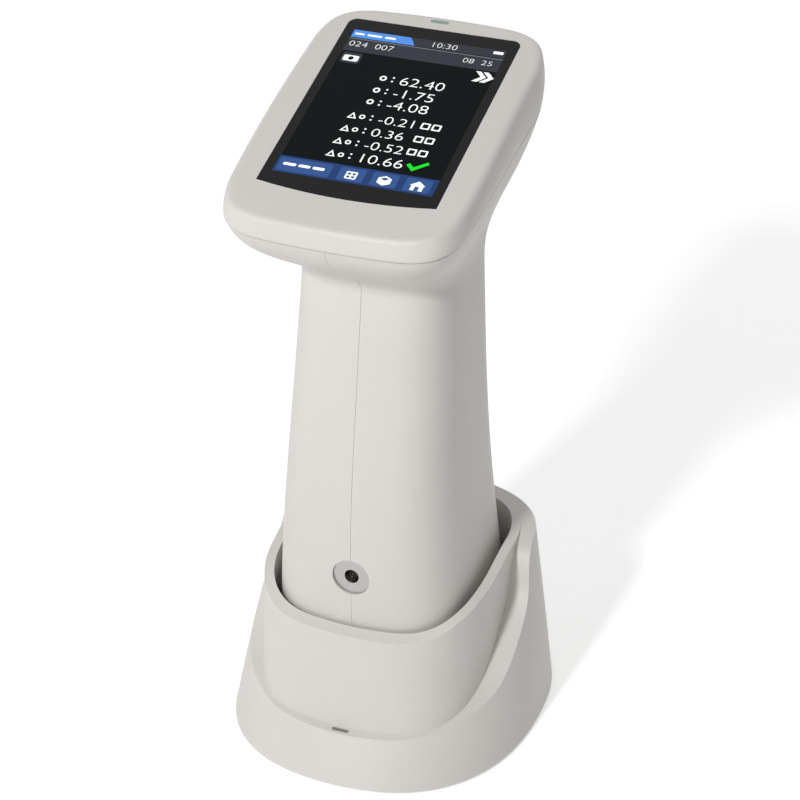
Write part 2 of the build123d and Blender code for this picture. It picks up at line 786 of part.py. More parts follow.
# Buzzer on the underside of the board
with BuildPart() as buzzer:
    with BuildSketch(face_plane(board_depth + board_thickness)):
        with Locations((-18, 20)):
            Circle(buzzer_radius)
    extrude(amount=-2.6)
    with BuildSketch(face_plane(board_depth + board_thickness + 2.6)):
        with Locations((-18, 20)):
            Circle(0.8)
    extrude(amount=1.0, mode=Mode.SUBTRACT)
save(buzzer, "buzzer")

# Threaded insert at the front of the grip, a turned disc with its tapped hole
with BuildPart() as threaded_insert:
    with BuildSketch(Plane.XZ.offset(-(insert_face + insert_flange_thickness))):
        with Locations((0, up(insert_height))):
            Circle(insert_flange_radius)
    extrude(amount=insert_flange_thickness)
    with BuildSketch(Plane.XZ.offset(-(insert_face + insert_length))):
        with Locations((0, up(insert_height))):
            Circle(insert_body_radius)
    extrude(amount=insert_length - insert_flange_thickness)
    with BuildSketch(Plane.XZ.offset(-(insert_face + insert_length - 2.0))):
        with Locations((0, up(insert_height))):
            Circle(insert_hole_radius)
    extrude(amount=insert_length, mode=Mode.SUBTRACT)
save(threaded_insert, "threaded_insert")

# Bottom cover with the opening for the aperture ring and the recesses of the charging pads
with BuildPart() as bottom_cover:
    extrude(ring_face(bottom_ring, wall + cover_gap), amount=cover_thickness)
    with Locations((0, 0, up(0))):
        Cylinder(aperture_ring_radius + running_gap, cover_thickness, align=LOW, mode=Mode.SUBTRACT)
    with BuildSketch(Plane.XY.offset(up(0))):
        with Locations((0, pin_y)):
            with GridLocations(pin_pitch, pin_pitch, 4, 1):
                Rectangle(pad_width, pad_length)
    extrude(amount=pad_depth + 1.0, mode=Mode.SUBTRACT)
    for x in (-corner_post_x, corner_post_x):
        for y in (corner_post_front, corner_post_back):
            with Locations((x, y, up(0))):
                Cylinder(screw_head_radius + part_gap, screw_head_height, align=LOW, mode=Mode.SUBTRACT)
                Cylinder(screw_radius + part_gap, cover_thickness, align=LOW, mode=Mode.SUBTRACT)
save(bottom_cover, "bottom_cover")

with BuildPart() as bottom_screws:
    for x in (-corner_post_x, corner_post_x):
        for y in (corner_post_front, corner_post_back):
            with Locations((x, y, up(fit_gap))):
                Cylinder(screw_head_radius, screw_head_height - fit_gap, align=LOW)
                Cylinder(screw_radius - fit_gap, 9.0, align=LOW)
save(bottom_screws, "bottom_screws")

# Gold-plated charging pads, let into the bottom cover
with BuildPart() as charging_pads:
    with BuildSketch(Plane.XY.offset(up(pad_depth))):
        with Locations((0, pin_y)):
            with GridLocations(pin_pitch, pin_pitch, 4, 1):
                Rectangle(pad_width, pad_length)
    extrude(amount=1.0)
save(charging_pads, "charging_pads")

# Aperture ring: twists out of its bayonet so that another aperture can be fitted
with BuildPart() as aperture_ring:
    with Locations((0, 0, up(-aperture_proud))):
        Cylinder(aperture_ring_radius, aperture_ring_height, align=LOW)
        Cylinder(port_radius, aperture_ring_height, align=LOW, mode=Mode.SUBTRACT)
    chamfer(aperture_ring.edges().filter_by(GeomType.CIRCLE).sort_by(SortBy.RADIUS)[:2].sort_by(Axis.Z)[0], 1.6)
    with BuildSketch(Plane.XY.offset(up(-aperture_proud))):
        with PolarLocations(aperture_ring_radius - 3.0, 3, start_angle=90):
            Circle(1.2)
    extrude(amount=1.0, mode=Mode.SUBTRACT)
save(aperture_ring, "aperture_ring")

# Integrating sphere in two halves that meet in flanges
nose_bottom = aperture_ring_height - aperture_proud + running_gap
nose_radius = 13.0
nose_length = 9.0
flange_screw_ring = flange_radius - 2.1
with BuildPart() as sphere_lower:
    with Locations((0, 0, up(sphere_centre_height))):
        Sphere(sphere_radius + sphere_wall)
        Box(80, 80, 80, align=LOW, mode=Mode.SUBTRACT)
        Cylinder(flange_radius, flange_thickness / 2, align=HIGH)
    with Locations((0, 0, up(nose_bottom))):
        Cylinder(nose_radius, nose_length, align=LOW)
        Box(4 * sphere_radius, 4 * sphere_radius, 4 * sphere_radius, align=HIGH, mode=Mode.SUBTRACT)
    with Locations((0, 0, up(sphere_centre_height))):
        Sphere(sphere_radius, mode=Mode.SUBTRACT)
    with Locations((0, 0, up(nose_bottom))):
        Cylinder(port_radius + 1.0, nose_length, align=LOW, mode=Mode.SUBTRACT)
    with Locations((0, 0, up(sphere_centre_height))):
        with PolarLocations(flange_screw_ring, 4, start_angle=45):
            Cylinder(1.1, flange_thickness * 2, mode=Mode.SUBTRACT)
save(sphere_lower, "sphere_lower")

with BuildPart() as sphere_upper:
    with Locations((0, 0, up(sphere_centre_height))):
        Sphere(sphere_radius + sphere_wall)
        Box(80, 80, 80, align=HIGH, mode=Mode.SUBTRACT)
        Cylinder(flange_radius, flange_thickness / 2, align=LOW)
    with Locations((0, 0, up(chassis_height))):
        Cylinder(12.0, 8.0, align=HIGH)
    with BuildSketch(Plane.XZ.offset(-side_port_reach)):
        with Locations((0, up(sphere_centre_height + side_port_height))):
            Circle(side_port_radius + 2.0)
    extrude(amount=2 * side_port_reach)
    with Locations((0, 0, up(sphere_centre_height))):
        Sphere(sphere_radius, mode=Mode.SUBTRACT)
    with BuildSketch(Plane.XZ.offset(-side_port_reach)):
        with Locations((0, up(sphere_centre_height + side_port_height))):
            Circle(side_port_radius)
    extrude(amount=2 * side_port_reach, mode=Mode.SUBTRACT)
    with Locations((0, 0, up(chassis_height))):
        Cylinder(port_radius, 12.0, align=HIGH, mode=Mode.SUBTRACT)
        Cylinder(barrel_radius + fit_gap, barrel_depth, align=HIGH, mode=Mode.SUBTRACT)
    with Locations((0, 0, up(sphere_centre_height))):
        with PolarLocations(flange_screw_ring, 4, start_angle=45):
            Cylinder(1.1, flange_thickness * 2, mode=Mode.SUBTRACT)
save(sphere_upper, "sphere_upper")

with BuildPart() as sphere_screws:
    with Locations((0, 0, up(sphere_centre_height + flange_thickness / 2))):
        with PolarLocations(flange_screw_ring, 4, start_angle=45):
            Cylinder(1.7, 1.4, align=LOW)
            Cylinder(1.0, flange_thickness, align=HIGH)
save(sphere_screws, "sphere_screws")

# Light source: a small board behind the sphere with its diode in the rear port
with BuildPart() as light_source:
    with BuildSketch(Plane.XZ.offset(-(side_port_reach + board_thickness))):
        with Locations((0, up(sphere_centre_height + side_port_height))):
            RectangleRounded(20, 16, 1.5)
    extrude(amount=board_thickness)
    with BuildSketch(Plane.XZ.offset(-side_port_reach)):
        with Locations((0, up(sphere_centre_height + side_port_height))):
            Circle(side_port_radius - 0.8)
    extrude(amount=4.0)
save(light_source, "light_source")

# Camera that shows where the instrument measures, at the front port
with BuildPart() as camera_module:
    with BuildSketch(Plane.XZ.offset(side_port_reach)):
        with Locations((0, up(sphere_centre_height + side_port_height))):
            RectangleRounded(12, 12, 1.0)
    extrude(amount=4.5)
    with BuildSketch(Plane.XZ.offset(side_port_reach - 3.0)):
        with Locations((0, up(sphere_centre_height + side_port_height))):
            Circle(side_port_radius - 0.6)
    extrude(amount=3.0)
save(camera_module, "camera_module")

# Chassis plate that joins the sphere, the spectrometer and the casing's shelves
with BuildPart() as optics_chassis:
    with BuildSketch(Plane.XY.offset(up(chassis_height))):
        RectangleRounded(chassis_width, chassis_length, 6)
        Circle(barrel_radius + fit_gap, mode=Mode.SUBTRACT)
    extrude(amount=chassis_thickness)
save(optics_chassis, "optics_chassis")

# Lens barrel and its collecting lens, from the top of the sphere into the spectrometer
with BuildPart() as lens_barrel:
    with Locations((0, 0, up(chassis_height - barrel_depth))):
        Cylinder(barrel_radius, barrel_length, align=LOW)
        Cylinder(barrel_radius - 2.0, barrel_length, align=LOW, mode=Mode.SUBTRACT)
save(lens_barrel, "lens_barrel")

with BuildPart() as collecting_lens:
    with Locations((0, 0, lens_bottom)):
        Cylinder(lens_radius, lens_thickness, align=LOW)
    with Locations((0, 0, lens_bottom + lens_thickness - lens_curve)):
        Sphere(lens_curve, mode=Mode.INTERSECT)
save(collecting_lens, "collecting_lens")

# Spectrometer: its box, the grating and the sensor board inside, and its cover
spectrometer_bottom = chassis_height + chassis_thickness
spectrometer_middle = (spectrometer_front + spectrometer_back) / 2
spectrometer_length = spectrometer_back - spectrometer_front
with BuildPart() as spectrometer_housing:
    with Locations((0, spectrometer_middle, up(spectrometer_bottom))):
        Box(spectrometer_width, spectrometer_length, spectrometer_height, align=LOW)
    fillet(spectrometer_housing.edges().filter_by(Axis.Z), 2.0)
    with Locations((0, spectrometer_middle, up(spectrometer_bottom + spectrometer_wall))):
        Box(
            spectrometer_width - 2 * spectrometer_wall,
            spectrometer_length - 2 * spectrometer_wall,
            spectrometer_height,
            align=LOW,
            mode=Mode.SUBTRACT,
        )
    with Locations((0, 0, up(spectrometer_bottom))):
        Cylinder(barrel_radius + fit_gap, spectrometer_wall, align=LOW, mode=Mode.SUBTRACT)
save(spectrometer_housing, "spectrometer_housing")

with BuildPart() as spectrometer_cover:
    with Locations((0, spectrometer_middle, up(spectrometer_bottom + spectrometer_height))):
        Box(spectrometer_width, spectrometer_length, 2.0, align=LOW)
    fillet(spectrometer_cover.edges().filter_by(Axis.Z), 2.0)
save(spectrometer_cover, "spectrometer_cover")

with BuildPart() as grating:
    with Locations((0, spectrometer_back - spectrometer_wall - 2.0, up(spectrometer_bottom + spectrometer_wall + 4))):
        Box(14, 4.0, 14, align=LOW)
save(grating, "grating")

with BuildPart() as sensor_board:
    with Locations((0, spectrometer_front + spectrometer_wall + board_thickness / 2, up(spectrometer_bottom + 4))):
        Box(30, board_thickness, 20, align=LOW)
    with Locations((0, spectrometer_front + spectrometer_wall + board_thickness + 1.2, up(spectrometer_bottom + 10))):
        Box(24, 2.4, 8, align=LOW)
save(sensor_board, "sensor_board")

# Battery frame: a foot on the spectrometer's cover and an upright wall between battery and power board
frame_bottom = spectrometer_bottom + spectrometer_height + 2.0
frame_wall_back = -4.0
with BuildPart() as battery_frame:
    with Locations((0, 0, up(frame_bottom))):
        Box(40, 32, 2.0, align=LOW)
    with Locations((0, frame_wall_back - 1.0, up(frame_bottom))):
        Box(40, 2.0, cell_length + 4.0, align=LOW)
    with BuildSketch(Plane.XZ.offset(-(frame_wall_back - 2.0))):
        with Locations((0, up(frame_bottom + 2 + cell_length / 2))):
            with GridLocations(26, 40, 2, 2):
                Circle(2.0)
    extrude(amount=2.6)
save(battery_frame, "battery_frame")

with BuildPart() as battery_cells:
    for side in (-1, 1):
        with Locations((side * (cell_radius + 0.2), frame_wall_back + cell_radius + 0.3, up(frame_bottom + 2.0))):
            Cylinder(cell_radius, cell_length, align=LOW)
            Cylinder(cell_radius * 0.4, cell_length + 1.0, align=LOW)
save(battery_cells, "battery_cells")

with BuildPart() as power_board:
    with BuildSketch(Plane.XZ.offset(-(frame_wall_back - 4.6))):
        with Locations((0, up(frame_bottom + 2 + cell_length / 2))):
            RectangleRounded(34, 50, 2)
    extrude(amount=board_thickness)
    with BuildSketch(Plane.XZ.offset(-(frame_wall_back - 4.6 - board_thickness))):
        with Locations((0, up(frame_bottom + 2 + cell_length / 2))):
            with Locations((-6, 10), (7, -8)):
                Rectangle(9, 9)
    extrude(amount=1.6)
save(power_board, "power_board")

# Measuring button on the grip's back, its switch board behind it
with BuildPart() as measure_button:
    extrude(pill(button_width, button_length, button_height).moved(Location((0, button_face, 0))),
            amount=button_face - button_stem_end)
    fillet(measure_button.faces().sort_by(Axis.Y)[-1].edges(), 0.9)
    extrude(pill(button_width + 2 * button_rim, button_length + 2 * button_rim, button_height).moved(
        Location((0, button_stem_end + button_flange, 0))), amount=button_flange)
save(measure_button, "measure_button")

with BuildPart() as switch_board:
    with BuildSketch(Plane.XZ.offset(-switch_board_face)):
        with Locations((0, up(button_height))):
            RectangleRounded(18, 2 * (switch_post_heights[1] - button_height) + 5.0, 2)
    extrude(amount=board_thickness)
    with BuildSketch(Plane.XZ.offset(-(switch_board_face + 1.8))):
        with Locations((0, up(button_height))):
            Rectangle(6, 6)
    extrude(amount=1.8)
    with BuildSketch(Plane.XZ.offset(-(switch_board_face + 2.1))):
        with Locations((0, up(button_height))):
            Circle(1.6)
    extrude(amount=0.6)
save(switch_board, "switch_board")
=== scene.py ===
import bmesh
import bpy
import json
from math import cos, pi, radians, sin
from mathutils import Matrix, Vector


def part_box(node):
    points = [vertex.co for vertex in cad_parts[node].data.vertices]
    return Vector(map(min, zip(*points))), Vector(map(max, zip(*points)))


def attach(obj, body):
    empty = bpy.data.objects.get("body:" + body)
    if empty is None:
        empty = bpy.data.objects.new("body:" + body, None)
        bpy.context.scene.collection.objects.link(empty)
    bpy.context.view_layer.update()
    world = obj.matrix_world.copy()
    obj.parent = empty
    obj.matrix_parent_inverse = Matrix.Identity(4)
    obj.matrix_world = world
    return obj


# Handheld spectrophotometer in its charging cradle: materials, screen picture, light and camera.
# Metres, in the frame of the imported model. MM turns the millimetres of the drawing into metres.
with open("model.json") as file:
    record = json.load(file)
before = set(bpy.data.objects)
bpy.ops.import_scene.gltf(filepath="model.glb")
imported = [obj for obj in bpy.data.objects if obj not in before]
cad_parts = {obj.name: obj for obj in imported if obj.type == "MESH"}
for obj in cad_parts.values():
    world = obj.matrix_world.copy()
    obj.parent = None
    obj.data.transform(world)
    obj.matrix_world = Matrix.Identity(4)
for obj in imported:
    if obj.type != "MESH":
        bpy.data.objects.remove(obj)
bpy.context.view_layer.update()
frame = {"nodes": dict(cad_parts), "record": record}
nodes = frame["nodes"]
MM = 0.001

# Viewpoint of the photograph: the point looked at, the direction from it, and the lens
AIM = Vector((0.0, 4.5, 117.07)) * MM
AZIMUTH = radians(21.66)
ELEVATION = radians(29.43)
DISTANCE = 863.46 * MM
LENS = 114.36
SENSOR_WIDTH = 36.0
NEAREST_SEEN = 0.01

# The instrument's sloping face: its centre, and the directions up its slope and out of it
FACE_TILT = radians(18.3)
FACE_CENTRE = Vector((0.0, -2.7, 226.3)) * MM
UP_SLOPE = Vector((0.0, cos(FACE_TILT), sin(FACE_TILT)))
OUTWARD = Vector((0.0, -sin(FACE_TILT), cos(FACE_TILT)))

# Linear colours
SHELL = (0.66, 0.637, 0.605)
RUBBER_BLACK = (0.015, 0.015, 0.015)
INNER_BLACK = (0.022, 0.022, 0.024)
BOARD_GREEN = (0.006, 0.06, 0.025)
STEEL_GREY = (0.44, 0.43, 0.415)
ALUMINIUM_GREY = (0.72, 0.72, 0.73)
BORDER_BLACK = (0.006, 0.0055, 0.0055)
PIPE_GREEN = (0.24, 0.36, 0.27)
CONTACT_GOLD = (0.80, 0.58, 0.22)
TILE_WHITE = (0.88, 0.88, 0.87)
LENS_TINT = (0.6, 0.7, 0.72)
SPHERE_WHITE = (0.86, 0.86, 0.85)
CELL_BLUE = (0.02, 0.09, 0.22)
CRADLE_LIGHT_GREY = (0.21, 0.20, 0.185)
PAPER_WHITE = (0.92, 0.92, 0.92)
INK = (0.92, 0.93, 0.93)
SCREEN_BLACK = (0.0018, 0.0035, 0.004)
BAR_GREY = (0.028, 0.031, 0.040)
LINE_GREY = (0.12, 0.13, 0.15)
TAB_BLUE = (0.07, 0.21, 0.58)
BAR_BLUE = (0.014, 0.034, 0.115)
KEY_BLUE = (0.026, 0.065, 0.19)
PASS_GREEN = (0.01, 0.55, 0.02)

# Texture of every finish: the patches of its colour, the grain of its surface, and how far both go
NOISE_LOW = 0.3
NOISE_HIGH = 0.7
PATCH_SCALE = 40.0
PATCH_DETAIL = 3.0
GRAIN_DETAIL = 2.0
ROUGHNESS_SPREAD = 0.1
COAT_ROUGHNESS = 0.05
BUMP_HEIGHT = 0.05 * MM

# Surface of the lit picture, which hardly reflects
LIT_ROUGHNESS = 0.25
LIT_GLOSS = 0.04

# Rings left by the lathe on bare metal
TURNED_ROUGHNESS = 0.28
RING_SCALE = 700.0
RING_WAVER = 0.4
RING_RELIEF = 0.15


def node_tree(material):
    """The material's nodes and links, with its main shader."""
    tree = material.node_tree
    return tree, tree.nodes["Principled BSDF"]


def noise(tree, scale, detail, coordinates):
    """A noise texture in the object's own coordinates."""
    texture = tree.nodes.new("ShaderNodeTexNoise")
    texture.inputs["Scale"].default_value = scale
    texture.inputs["Detail"].default_value = detail
    tree.links.new(coordinates.outputs["Object"], texture.inputs["Vector"])
    return texture


def spread(tree, source, low, high):
    """A noise value brought between a low and a high value."""
    remap = tree.nodes.new("ShaderNodeMapRange")
    remap.inputs["From Min"].default_value = NOISE_LOW
    remap.inputs["From Max"].default_value = NOISE_HIGH
    remap.inputs["To Min"].default_value = low
    remap.inputs["To Max"].default_value = high
    tree.links.new(source.outputs["Fac"], remap.inputs["Value"])
    return remap.outputs["Result"]


def relief_from(tree, source, strength, shader):
    """A texture's light and dark raised as a fine relief of the surface."""
    bump = tree.nodes.new("ShaderNodeBump")
    bump.inputs["Strength"].default_value = strength
    bump.inputs["Distance"].default_value = BUMP_HEIGHT
    tree.links.new(source.outputs["Fac"], bump.inputs["Height"])
    tree.links.new(bump.outputs["Normal"], shader.inputs["Normal"])


def finish_of(name, colour, rough, grain=3000.0, relief=0.04, tint=0.03, metal=0.0, coat=0.0, gloss=0.5):
    """One finish: its colour drifts a little, its roughness varies, and a fine grain lifts its surface."""
    material = bpy.data.materials.new(name)
    material.use_nodes = True
    tree, shader = node_tree(material)
    coordinates = tree.nodes.new("ShaderNodeTexCoord")
    shader.inputs["Metallic"].default_value = metal
    shader.inputs["Coat Weight"].default_value = coat
    shader.inputs["Specular IOR Level"].default_value = gloss
    shader.inputs["Coat Roughness"].default_value = COAT_ROUGHNESS
    drift = noise(tree, PATCH_SCALE, PATCH_DETAIL, coordinates)
    ramp = tree.nodes.new("ShaderNodeValToRGB")
    ramp.color_ramp.elements[0].color = (*[c * (1 - tint) for c in colour], 1)
    ramp.color_ramp.elements[1].color = (*[c * (1 + tint) for c in colour], 1)
    tree.links.new(drift.outputs["Fac"], ramp.inputs["Fac"])
    tree.links.new(ramp.outputs["Color"], shader.inputs["Base Color"])
    fine = noise(tree, grain, GRAIN_DETAIL, coordinates)
    smoothest = rough * (1 - ROUGHNESS_SPREAD)
    roughest = rough * (1 + ROUGHNESS_SPREAD)
    tree.links.new(spread(tree, fine, smoothest, roughest), shader.inputs["Roughness"])
    relief_from(tree, fine, relief, shader)
    return material


def lit(name, colour, strength):
    """A part of the lit picture on the screen, with a faint variation of its brightness."""
    material = finish_of(name, colour, LIT_ROUGHNESS, relief=0.0, gloss=LIT_GLOSS)
    shader = node_tree(material)[1]
    shader.inputs["Emission Color"].default_value = (*colour, 1)
    shader.inputs["Emission Strength"].default_value = strength
    return material


def turned_metal(name, colour, centre):
    """Bare metal turned on a lathe: fine rings round an axis along Y, in place of the grain."""
    material = finish_of(name, colour, TURNED_ROUGHNESS, relief=0.0, metal=1.0)
    tree, shader = node_tree(material)
    coordinates = tree.nodes.new("ShaderNodeTexCoord")
    place = tree.nodes.new("ShaderNodeMapping")
    place.inputs["Location"].default_value = (-centre.x, -centre.y, -centre.z)
    rings = tree.nodes.new("ShaderNodeTexWave")
    rings.wave_type = "RINGS"
    rings.rings_direction = "Y"
    rings.inputs["Scale"].default_value = RING_SCALE
    rings.inputs["Distortion"].default_value = RING_WAVER
    tree.links.new(coordinates.outputs["Object"], place.inputs["Vector"])
    tree.links.new(place.outputs["Vector"], rings.inputs["Vector"])
    relief_from(tree, rings, RING_RELIEF, shader)
    return material


def dress(node, material):
    """One finish on every material slot of a node."""
    for material_slot in nodes[node].material_slots:
        material_slot.material = material


# Finishes of the solids, by the name that the record gives each one
insert_low, insert_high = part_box("threaded_insert")
INSERT_CENTRE = (insert_low + insert_high) / 2
FINISHES = {
    "shell": finish_of("shell_plastic", SHELL, 0.48),
    "cradle": finish_of("cradle_plastic", SHELL, 0.48),
    "rubber": finish_of("foot_rubber", RUBBER_BLACK, 0.8, grain=1500.0, relief=0.2),
    "inner_plastic": finish_of("dark_plastic", INNER_BLACK, 0.5),
    "board": finish_of("board_lacquer", BOARD_GREEN, 0.35, grain=900.0),
    "steel": turned_metal("turned_steel", STEEL_GREY, INSERT_CENTRE),
    "aluminium": finish_of("machined_aluminium", ALUMINIUM_GREY, 0.3, metal=1.0),
    "glass": finish_of("glass_border", BORDER_BLACK, 0.14, relief=0.0, gloss=0.14),
    "display": finish_of("display_module", SCREEN_BLACK, 0.2, relief=0.0),
    "pipe": finish_of("light_pipe", PIPE_GREEN, 0.3),
    "contact": finish_of("contact_plating", CONTACT_GOLD, 0.22, metal=1.0),
    "tile": finish_of("tile_glaze", TILE_WHITE, 0.12, relief=0.0, coat=0.5),
    "lens": finish_of("lens_glass", LENS_TINT, 0.05, relief=0.0, coat=0.8),
    "sphere": finish_of("sphere_white", SPHERE_WHITE, 0.7),
    "cell": finish_of("cell_sleeve", CELL_BLUE, 0.35),
}
for part in frame["record"]["subparts"]:
    dress(part["node"], FINISHES[part["material_slot"]])
dress("cradle_light_pipe", finish_of("cradle_light_grey", CRADLE_LIGHT_GREY, 0.4))

# Parts of the lit picture
screen_black = lit("screen_black", SCREEN_BLACK, 0.6)
bar_grey = lit("bar_grey", BAR_GREY, 0.6)
tab_blue = lit("tab_blue", TAB_BLUE, 0.6)
bar_blue = lit("bar_blue", BAR_BLUE, 0.7)
key_blue = lit("key_blue", KEY_BLUE, 0.7)
ink = lit("ink", INK, 0.35)
pass_green = lit("pass_green", PASS_GREEN, 0.6)

# The picture is built of thin layers. GROUND lies GLASS_DEPTH under the plane of the face's centre, and each
# next layer a thickness higher. All of the picture's sizes are millimetres on the face.
GLASS_DEPTH = 0.1
LAYER = 0.02
GROUND, BAR, MARK, ON_MARK, TOP = range(5)
CORNER_STEPS = 6

# Digits: a digit's height as a share of its type size, how wide it is drawn, and how much thinner
DIGIT_SHARE = 0.69
DIGIT_STRETCH = 1.22
DIGIT_THINNING = 0.07


def linked(name, data):
    """A new object that holds the data, in the scene."""
    item = bpy.data.objects.new(name, data)
    bpy.context.scene.collection.objects.link(item)
    return item


def on_face(x, along, layer):
    """A point on the sloping face, lifted by a number of layers."""
    depth = GLASS_DEPTH - layer * LAYER
    return FACE_CENTRE + Vector((x, 0, 0)) * MM + UP_SLOPE * along * MM - OUTWARD * depth * MM


def solid_from(name, outline, layer, material):
    """A thin flat piece on the screen with the given outline, one layer thick."""
    mesh = bpy.data.meshes.new(name)
    shape = bmesh.new()
    low = [shape.verts.new(on_face(x, s, layer)) for x, s in outline]
    face = shape.faces.new(low)
    grown = bmesh.ops.extrude_face_region(shape, geom=[face])
    raised = [g for g in grown["geom"] if isinstance(g, bmesh.types.BMVert)]
    bmesh.ops.translate(shape, verts=raised, vec=OUTWARD * LAYER * MM)
    bmesh.ops.recalc_face_normals(shape, faces=shape.faces)
    shape.to_mesh(mesh)
    shape.free()
    mesh.materials.append(material)
    piece = linked(name, mesh)
    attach(piece, "instrument")


def rounded(x0, x1, s0, s1, radius):
    """The outline of a rounded rectangle from x0 to x1 across and s0 to s1 up the slope."""
    points = []
    corners = [(x1 - radius, s1 - radius, 0), (x0 + radius, s1 - radius, 1),
               (x0 + radius, s0 + radius, 2), (x1 - radius, s0 + radius, 3)]
    for x, s, quarter in corners:
        for i in range(CORNER_STEPS + 1):
            angle = (quarter + i / CORNER_STEPS) * pi / 2
            points.append((x + radius * cos(angle), s + radius * sin(angle)))
    return points


def hollow(name, outline, hole):
    """A white mark with a hole, which is the ground's colour on top of it."""
    solid_from(name, outline, MARK, ink)
    solid_from(name + "_hole", hole, ON_MARK, screen_black)


def full_bar(name, low, high, layer, material, corner=0.1):
    """A bar across the whole width of the screen."""
    solid_from(name, rounded(-HALF_W, HALF_W, low, high, corner), layer, material)


def number(name, text, x, along, height):
    """A row of plain white digits that starts at x, with its middle at the given place up the slope."""
    curve = bpy.data.curves.new(name, "FONT")
    curve.body = text
    curve.size = height * MM / DIGIT_SHARE
    curve.extrude = LAYER * MM / 2
    curve.offset = -DIGIT_THINNING * MM
    text_object = linked(name + "_text", curve)
    bpy.context.view_layer.update()
    evaluated = text_object.evaluated_get(bpy.context.evaluated_depsgraph_get())
    mesh = bpy.data.meshes.new_from_object(evaluated)
    bpy.data.objects.remove(text_object)
    bpy.data.curves.remove(curve)
    axes = Matrix((Vector((DIGIT_STRETCH, 0, 0)), UP_SLOPE, OUTWARD)).transposed().to_4x4()
    start = on_face(x, along - height / 2, MARK + 0.5)
    mesh.transform(Matrix.Translation(start) @ axes)
    mesh.materials.clear()
    mesh.materials.append(ink)
    piece = linked(name, mesh)
    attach(piece, "instrument")


# Top of the screen: the ground, the status bar with its tab, and the grey bar under it
HALF_W = 26.64
HALF_H = 35.52
STATUS_LOW = 31.7
LINE_HIGH = 31.3
INFO_HIGH = 30.9
INFO_LOW = 24.8
TAB = [(-26.4, 31.7), (-4.2, 31.7), (-5.2, 33.6), (-6.6, 35.4), (-26.4, 35.4)]
TAB_MARKS = [(-25.6, -22.2), (-21.2, -16.0), (-15.0, -11.2)]
full_bar("screen_ground", -HALF_H, HALF_H, GROUND, screen_black, corner=0.2)
full_bar("status_bar", STATUS_LOW, HALF_H, BAR, bar_grey)
full_bar("status_line", INFO_HIGH, LINE_HIGH, BAR, lit("line_grey", LINE_GREY, 0.6))
full_bar("info_bar", INFO_LOW, INFO_HIGH, BAR, bar_grey)
solid_from("blue_tab", TAB, MARK, tab_blue)
for i, (left, right) in enumerate(TAB_MARKS):
    solid_from(f"tab_mark_{i}", rounded(left, right, 33.1, 34.0, 0.4), ON_MARK, ink)
number("clock", "10:30", 0.9, 33.6, 2.4)
solid_from("battery_mark", rounded(22.4, 25.8, 33.4, 34.7, 0.3), MARK, ink)
number("info_left", "024  007", -25.8, 28.6, 2.5)
number("info_right", "08  25", 13.8, 28.4, 2.3)

# Rows of readings: the number, its place up the slope and the height of its digits
READINGS = [
    ("62.40", 14.0, 4.0),
    ("-1.75", 8.0, 4.0),
    ("-4.08", 2.2, 4.0),
    ("-0.21", -5.2, 3.7),
    ("0.36", -11.5, 3.7),
    ("-0.52", -17.6, 3.7),
    ("10.66", -23.7, 4.0),
]
READINGS_LEFT = -2.6
PLAIN_ROWS = 3
DOT_REACH = 0.35
DOTS_FROM_MIDDLE = 0.9


def plain_sign(i, along):
    """The ring before a plain reading."""
    outline = rounded(-9.4, -7.0, along - 1.2, along + 1.2, 1.15)
    hole = rounded(-8.8, -7.6, along - 0.6, along + 0.6, 0.55)
    hollow(f"row_ring_{i}", outline, hole)


def difference_sign(i, along):
    """The triangle and the smaller ring before a reading that is a difference."""
    outline = [(-12.9, along - 1.4), (-9.7, along - 1.4), (-11.3, along + 1.5)]
    hole = [(-12.1, along - 0.95), (-10.5, along - 0.95), (-11.3, along + 0.5)]
    hollow(f"row_delta_{i}", outline, hole)
    outline = rounded(-9.0, -7.0, along - 1.1, along + 0.9, 0.95)
    hole = rounded(-8.5, -7.5, along - 0.6, along + 0.4, 0.45)
    hollow(f"row_ring_{i}", outline, hole)


for i, (text, along, height) in enumerate(READINGS):
    number(f"reading_{i}", text, READINGS_LEFT, along, height)
    if i < PLAIN_ROWS:
        plain_sign(i, along)
    else:
        difference_sign(i, along)
    for above in (False, True):
        middle = along + (DOTS_FROM_MIDDLE if above else -DOTS_FROM_MIDDLE)
        dot = rounded(-5.2, -4.5, middle - DOT_REACH, middle + DOT_REACH, 0.3)
        solid_from(f"colon_{i}_{above}", dot, MARK, ink)

# Two squares after each difference but the last, which has the tick
SQUARE_WIDTH = 3.0
SQUARE_WALL = 0.6
TICK = [(13.8, -23.4), (14.8, -22.6), (16.4, -24.2), (20.2, -21.0), (21.0, -22.0), (16.4, -26.0)]
noted_rows = [along for text, along, height in READINGS[PLAIN_ROWS:-1]]
for i, along in enumerate(noted_rows):
    for j, left in enumerate((11.9, 15.6)):
        right = left + SQUARE_WIDTH
        outline = rounded(left, right, along - 1.4, along + 1.5, 0.4)
        hole = rounded(left + SQUARE_WALL, right - SQUARE_WALL, along - 0.85, along + 0.95, 0.2)
        hollow(f"note_{i}{j}", outline, hole)
solid_from("pass_tick", TICK, MARK, pass_green)

